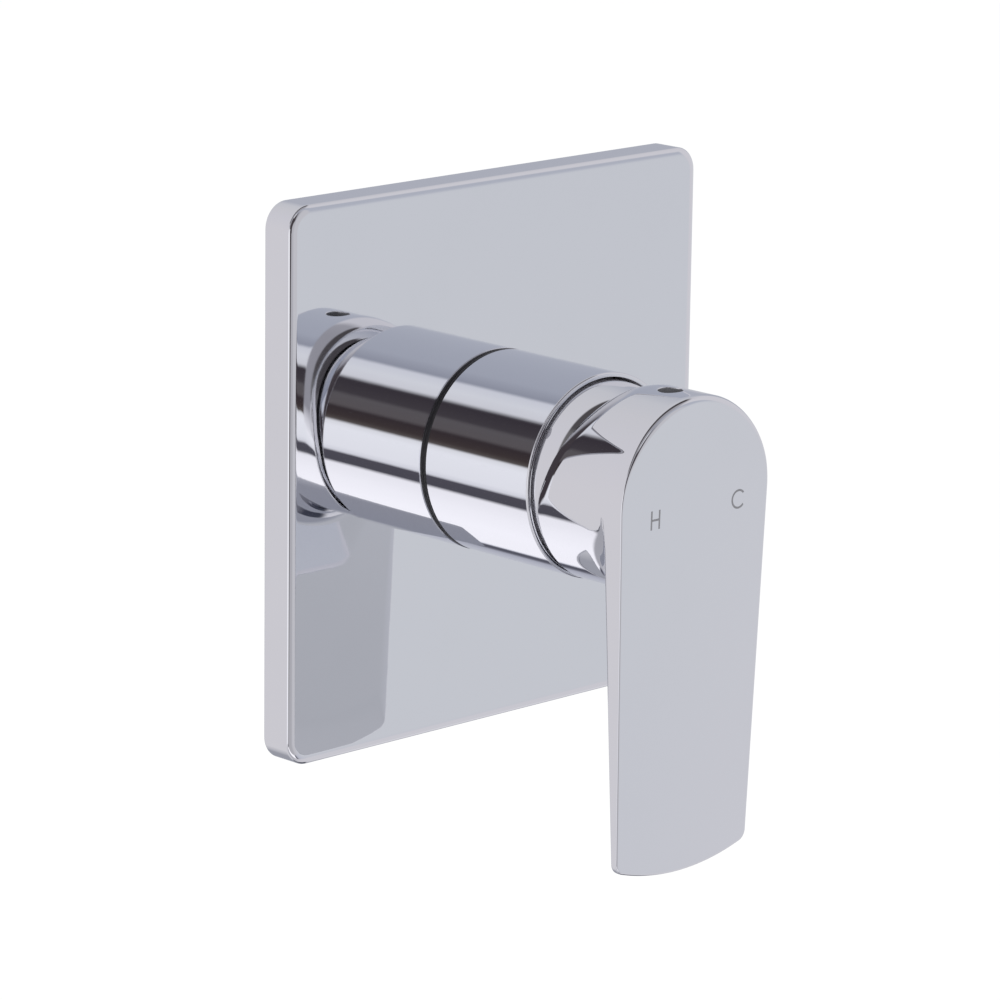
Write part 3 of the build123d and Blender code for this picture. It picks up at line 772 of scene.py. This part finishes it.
# Dome cap: a pressed and plated ring, part of a ball about the lever's pivot. It closes the
# wedge gap behind the lever at every tilt, and its skirt grips the spigot of the neck.
pivot = 41.5
dome_radius = 22.5
dome_wall = 1.2
dome_opening = 48.0
dome_join = 2.4
dome_skirt = 22.4
dome_skirt_bore = 21.1
dome_skirt_end = pivot + dome_join - 0.2
spigot_rear = 36.1
dome_steps = 39
dome_bore_steps = 19


def ball_arc(radius, first, last, steps):
    """An arc about the lever's pivot as radius and forward, between two angles."""
    turns = [first + (last - first) * step / steps for step in range(steps + 1)]
    return [(radius * math.cos(turned), pivot + radius * math.sin(turned)) for turned in turns]


dome_bore = dome_radius - dome_wall
first_turn = math.asin(dome_join / dome_radius)
last_turn = math.radians(90 - dome_opening)
dome_profile = [(dome_skirt_bore, spigot_rear), (dome_skirt, spigot_rear), (dome_skirt, dome_skirt_end)]
dome_profile += ball_arc(dome_radius, first_turn, last_turn, dome_steps)
dome_profile += ball_arc(dome_bore, last_turn, math.asin(dome_join / dome_bore), dome_bore_steps)
dress(lathe("dome_ring", dome_profile), "fixed", chrome, "chrome", "dome_cap")


# Lever: one zinc casting, hub and paddle, polished and plated. The face's edge is soft over the
# head and crisp down the sides. The hub rolls in at its rear and is hollow over the dome, and a
# drilled hole in its top leads to the set screw.
hub_radius = 23.8
face_forward = 72.9
face_slope = math.tan(math.radians(1.28))
back_forward = 67.2
back_slope = math.tan(math.radians(-1.34))
lever_tip = -88.0
tip_half_width = 21.2
tip_arc = 64.0
tip_corner = 2.8
edge_round_head = 1.6
edge_round_side = 0.45
edge_soft_from = 0.2
edge_soft_full = 0.95
face_margins = (0.7, 0.15)
back_edge_round = 0.4
back_round_share = 0.3
hollow_share = 0.95
wall_margin = 0.1
hollow_round = 5.5
hollow_length = 7.5
rim_low = 45.9
rim_high = 53.6
rim_bend_low = -5.0
rim_bend_high = 26.0
rim_pull = 8.0
rim_round = 0.2
rim_margin = 0.08
roll_start = 8.0
roll_radius_top = 12.0
roll_radius_side = 8.0
roll_length_top = 6.2
roll_length_side = 3.0
cavity_radius = 22.95
boss_radius = 8.2
boss_rear = 60.5
screw_forward = 64.3
screw_mouth = 2.9
mouth_round = 0.2
mouth_margin = 0.3
mouth_shares = (0.35, 0.65, 0.85)
hole_wall_heights = (22.8, 21.5, 19.5, 17.0)
hole_top = 23.4
hole_slack = 0.02
hole_patch = 10
hole_patch_reach = 4.1
screw_bore = 2.5
screw_step = 14.0
screw_foot = 4.3
head_steps = 180
side_lengths = 60
tip_corner_steps = 12
tip_steps = 24
lever_smooth = 34
rim_halvings = 30
cavity_steps = 11


def ray_at(turned):
    return Vector((math.cos(turned), math.sin(turned)))


def paddle_outline():
    """Front view of the lever as places with their outward directions, anticlockwise."""
    taper = math.atan2(tip_half_width, -lever_tip)
    taper -= math.asin(hub_radius / math.hypot(tip_half_width, lever_tip))
    outward = ray_at(taper)
    side = outward * hub_radius
    sagitta = tip_arc - math.sqrt(tip_arc ** 2 - tip_half_width ** 2)
    along = (Vector((tip_half_width, lever_tip + sagitta)) - side).normalized()
    tip_centre = Vector((0, lever_tip + tip_arc))
    start = side - outward * tip_corner - tip_centre
    half = start.dot(along)
    reach = -half + math.sqrt(half ** 2 - start.length_squared + (tip_arc - tip_corner) ** 2)
    corner = tip_centre + start + along * reach
    corner_end = (corner - tip_centre).normalized()
    head = []
    for step in range(head_steps + 1):
        normal = ray_at(taper + (math.pi - 2 * taper) * step / head_steps)
        head.append((normal * hub_radius, normal))
    right = []
    line_end = corner + outward * tip_corner
    for step in range(1, side_lengths):
        right.append((side.lerp(line_end, step / side_lengths), outward))
    low = math.atan2(corner_end.y, corner_end.x)
    for step in range(tip_corner_steps + 1):
        normal = ray_at(taper + (low - taper) * step / tip_corner_steps)
        right.append((corner + normal * tip_corner, normal))
    for step in range(1, tip_steps + 1):
        normal = ray_at(low + (-math.pi / 2 - low) * step / tip_steps)
        right.append((tip_centre + normal * tip_arc, normal))
    left = [(Vector((-p.x, p.y)), Vector((-n.x, n.y))) for p, n in right[:-1]]
    return head + left + right[::-1]


def soft_step(value, low, high):
    share = min(max((value - low) / (high - low), 0.0), 1.0)
    return share * share * (3 - 2 * share)


def face_at(z):
    return face_forward + face_slope * z


def back_at(z):
    return back_forward + back_slope * min(z, 0.0)


def bezier(a, b, c, d, t):
    s = 1 - t
    return a * s ** 3 + 3 * b * s * s * t + 3 * c * s * t * t + d * t ** 3


def rim_at(z):
    """How far forward the hub's rear rim lies at a height: level low down, swept at the top."""
    if z <= rim_bend_low:
        return rim_low
    if z >= rim_bend_high:
        return rim_high
    low, high = 0.0, 1.0
    heights = (rim_bend_low, rim_bend_low + rim_pull, rim_bend_high - rim_pull, rim_bend_high)
    for _ in range(rim_halvings):
        middle = (low + high) / 2
        low, high = (middle, high) if bezier(*heights, middle) < z else (low, middle)
    return bezier(rim_low, rim_low, rim_high, rim_high, low)


def hub_reach(turned, forward):
    """The hub's radius in a direction: it rolls in towards the rear rim, but not low down."""
    height = hub_radius * math.sin(turned)
    high = soft_step(height, roll_start, hub_radius)
    length = roll_length_side + (roll_length_top - roll_length_side) * high
    radius = roll_radius_side + (roll_radius_top - roll_radius_side) * high
    share = soft_step(height, rim_bend_low, -rim_bend_low)
    past = max(rim_at(height) + length - forward, 0)
    return hub_radius - share * past ** 2 / (2 * radius)


def place_3d(flat, forward):
    return (flat.x, -forward, flat.y)


wall_rows = 6
back_rows = 4
ledge_rows = 6
hollow_rows = 9
hub_rows = 26
crossing_rows = back_rows + ledge_rows + hollow_rows
crossing_width = 1.2
crossing_end = 0.5
ledge_full = 0.8


def lever_column(place, normal):
    """The points of the lever's skin for one place of the outline, from the face to the boss."""
    turned = math.atan2(place.y, place.x)
    direction = ray_at(turned)
    softness = soft_step(direction.y, edge_soft_from, edge_soft_full)
    round_here = edge_round_side + (edge_round_head - edge_round_side) * softness
    column = []
    for margin in face_margins:
        flat = place - normal * (round_here + margin)
        column.append(place_3d(flat, face_at(flat.y)))
    for step in range(arc_steps + 1):
        rising = math.pi / 2 * step / arc_steps
        flat = place - normal * round_here * (1 - math.sin(rising))
        column.append(place_3d(flat, face_at(flat.y) - round_here * (1 - math.cos(rising))))
    wall_front = face_at(place.y) - round_here
    ledge = max(place.length - hub_radius, 0)
    back = back_at(place.y)
    back_round = min(back_edge_round, back_round_share * ledge)
    hollow = min(hollow_round, hollow_share * ledge)
    stretch = hollow_length * soft_step(ledge, 0, ledge_full) / hollow if hollow else 1.0
    spread = crossing_width * (1 - min(ledge / crossing_end, 1.0))
    for step in range(1, wall_rows + 1):
        forward = wall_front + (back + back_round + wall_margin - wall_front) * step / wall_rows
        column.append(place_3d(place, forward))
    row = 0
    for down, inward in quarter_round(back_round, back_rows)[1:]:
        row += 1
        flat = place - normal * down
        column.append(place_3d(flat, back + inward - spread * row / crossing_rows))
    start = place - normal * back_round
    foot = direction * hub_radius
    end = foot + direction * hollow
    for step in range(1, ledge_rows + 1):
        row += 1
        flat = start.lerp(end, step / ledge_rows)
        column.append(place_3d(flat, back_at(flat.y) - spread * row / crossing_rows))
    for out, _ in quarter_round(hollow, hollow_rows)[1:]:
        row += 1
        away_from_hub = hollow - math.sqrt(max(hollow ** 2 - (hollow - out) ** 2, 0))
        flat = foot + direction * away_from_hub
        forward = back_at(flat.y) - out * stretch - spread * row / crossing_rows
        column.append(place_3d(flat, forward))
    wall_end = -column[-1][1]
    rim = rim_at(hub_radius * direction.y)
    for step in range(1, hub_rows + 1):
        forward = wall_end + (rim + rim_round + rim_margin - wall_end) * step / hub_rows
        column.append(place_3d(direction * hub_reach(turned, forward), forward))
    rim_reach = hub_reach(turned, rim)
    for down, inward in quarter_round(rim_round, back_rows):
        column.append(place_3d(direction * (rim_reach - down), rim + inward))
    inner = math.sqrt(cavity_radius ** 2 - (rim - pivot) ** 2)
    column.append(place_3d(direction * (inner + wall_margin), rim))
    opening = math.acos((rim - pivot) / cavity_radius)
    closing = math.asin(boss_radius / cavity_radius)
    for step in range(cavity_steps + 1):
        polar = opening + (closing - opening) * step / cavity_steps
        flat = direction * cavity_radius * math.sin(polar)
        column.append(place_3d(flat, pivot + cavity_radius * math.cos(polar)))
    column.append(place_3d(direction * boss_radius, boss_rear))
    return column


def lever_mesh():
    """The lever's skin as points and faces, with the screw hole let into the top of the head."""
    columns = [lever_column(place, normal) for place, normal in paddle_outline()]
    count = len(columns)
    rows = len(columns[0])
    points = [columns[index][row] for row in range(rows) for index in range(count)]
    middle = head_steps // 2
    left = middle + hole_patch
    right = middle - hole_patch
    top_row = [-columns[middle][row][1] for row in range(rows)]
    upper = max(row for row in range(rows) if top_row[row] > screw_forward + hole_patch_reach)
    behind = [row for row in range(upper + 1, rows) if top_row[row] < screw_forward - hole_patch_reach]
    lower = behind[0]
    faces = []
    for row in range(rows - 1):
        for index in range(count):
            if upper <= row < lower and right <= index < left:
                continue
            after = (index + 1) % count
            near = row * count
            far = near + count
            faces.append((near + index, near + after, far + after, far + index))
    faces.append(tuple(reversed(range(count))))
    faces.append(tuple(range((rows - 1) * count, rows * count)))
    frame_ring = [upper * count + index for index in range(right, left)]
    frame_ring += [row * count + left for row in range(upper, lower)]
    frame_ring += [lower * count + index for index in range(left, right, -1)]
    frame_ring += [row * count + right for row in range(lower, upper, -1)]
    starts = [Vector((points[index][0], -points[index][1] - screw_forward)) for index in frame_ring]
    rays = [start.normalized() for start in starts]
    rings = [frame_ring]

    def add_ring(flats, height=None, lower_by=0.0):
        """A ring at one height, or lying on the hub or a little below its surface."""
        rings.append(list(range(len(points), len(points) + len(flats))))
        for flat in flats:
            on_hub = math.sqrt(hub_radius ** 2 - flat.x ** 2) - lower_by
            points.append((flat.x, -screw_forward - flat.y, height or on_hub))

    mouth = [ray * (screw_mouth + mouth_margin) for ray in rays]
    for share in mouth_shares:
        add_ring([start.lerp(end, share) for start, end in zip(starts, mouth)])
    add_ring(mouth)
    for down, inward in quarter_round(mouth_round, small_steps):
        add_ring([ray * (screw_mouth + inward) for ray in rays], lower_by=down)
    wall = [(screw_mouth, height) for height in (*hole_wall_heights, screw_step)]
    for radius, height in (*wall, (screw_bore, screw_step), (screw_bore, screw_foot)):
        add_ring([ray * radius for ray in rays], height)
    for near, far in zip(rings, rings[1:]):
        for index in range(len(near)):
            after = (index + 1) % len(near)
            faces.append((near[index], near[after], far[after], far[index]))
    faces.append(tuple(rings[-1]))
    return [tuple(part * mm for part in point) for point in points], faces


def zinc_with_painted_shade(shader, where):
    """The drilled hole and the hollow over the dome, where the plating doesn't reach: bare zinc,
    painted dark grey as painted shade for the hole and the hollow under the hub.
    """
    marks = ridges(shader.parts(where)[2], 0.3)
    tone = shader.noise(where, 800.0, 3.0, 0.6)
    # The dark grey is painted shade for the inside of the hole and the hollow under the hub, darker
    # than bare zinc itself.
    colour = shader.mix(tone, (0.13, 0.13, 0.145), (0.21, 0.21, 0.23))
    return surface(shader, colour, 0.0, 0.4 + tone * 0.2, bump(shader, marks, 0.03))


lever_skin = mesh_piece("lever_casting", *lever_mesh(), lever_smooth)
dress(lever_skin, "lever", chrome, "zinc_chrome", "lever_handle")


def in_screw_hole_or_hollow(x, forward, z):
    """Whether a place is in the screw hole or in the hollow over the dome."""
    beside_hole = math.hypot(x, forward - screw_forward) < screw_mouth + hole_slack
    in_hole = beside_hole and screw_foot - hole_slack < z < hole_top
    return in_hole or Vector((x, forward - pivot, z)).length < cavity_radius + bore_slack


# The hole and the hollow get bare zinc whose dark grey is painted shade.
finish_inside(lever_skin, material("zinc_with_painted_shade", zinc_with_painted_shade), in_screw_hole_or_hollow)


# Set screw: a small socket screw that runs down the hole in the head and bears on the stem, with
# a blackened thread and a bright worn socket.
def worn_black_steel(shader, where):
    up = shader.parts(where)[2]
    wear = shader.noise(where, 1500.0, 3.0, 0.6).between(0.35, 0.7)
    threads = ridges(up, 0.8)
    colour = shader.mix(wear, (0.16, 0.16, 0.18), (0.40, 0.40, 0.43))
    return surface(shader, colour, 0.6, 0.35 + wear * 0.15, bump(shader, threads, 0.1))


coat(material("worn_black_steel", worn_black_steel), "grub_screw")


# Letters: H and C cut into the face after plating and filled with grey enamel, which stands a
# hair proud of the plating.
letter_stroke = 0.5
letter_depth = 0.25
letter_proud = 0.03
letter_edge = 0.05
letter_smooth = 30
hot_place = (-12.8, -2.8)
hot_width = 3.0
hot_height = 4.4
cold_place = (14.1, -2.2)
cold_radius = 2.3
cold_opening = 40.0
cold_steps = 40


def grey_enamel(shader, where):
    speck = shader.noise(where, 5000.0, 2.0, 0.5)
    pool = shader.noise(where, 700.0, 2.0, 0.5)
    colour = shader.mix(pool, (0.20, 0.20, 0.22), (0.28, 0.28, 0.30))
    return surface(shader, colour, 0.0, 0.32 + speck * 0.12, bump(shader, speck, 0.01))


enamel = material("grey_enamel", grey_enamel)


def letter(name, strip, place, node):
    """A filled letter from a strip of cross-sections, each given as its two edges."""
    shoulder = letter_proud - letter_edge / 2
    loops = []
    for first, second in strip:
        across = (second - first).normalized() * letter_edge
        foot = [(first, -letter_depth), (second, -letter_depth), (second, shoulder)]
        crown = [(second - across, letter_proud), (first + across, letter_proud), (first, shoulder)]
        section = []
        for flat, height in foot + crown:
            x = place[0] + flat.x
            z = place[1] + flat.y
            section.append((x, -face_at(z) - height, z))
        loops.append(section)
    dress(skin(name, loops, "cap", letter_smooth), "lever", enamel, "grey_fill", node)


half_stroke = letter_stroke / 2
bar_reach = hot_width / 2 - letter_stroke


def upright(x):
    """An upright stroke, split where the bar of the H meets it."""
    levels = (-hot_height / 2, -half_stroke, half_stroke, hot_height / 2)
    return [(Vector((x, level)), Vector((x + letter_stroke, level))) for level in levels]


bar = [(Vector((x, half_stroke)), Vector((x, -half_stroke))) for x in (-bar_reach, 0, bar_reach)]
letter("hot_letter_bar", bar, hot_place, "hot_mark")
letter("hot_letter_left", upright(-hot_width / 2), hot_place, "hot_mark")
letter("hot_letter_right", upright(bar_reach), hot_place, "hot_mark")
cold_strip = []
for step in range(cold_steps + 1):
    ray = ray_at(math.radians(cold_opening + (360 - 2 * cold_opening) * step / cold_steps))
    cold_strip.append((ray * (cold_radius - letter_stroke), ray * cold_radius))
letter("cold_letter", cold_strip, cold_place, "cold_mark")
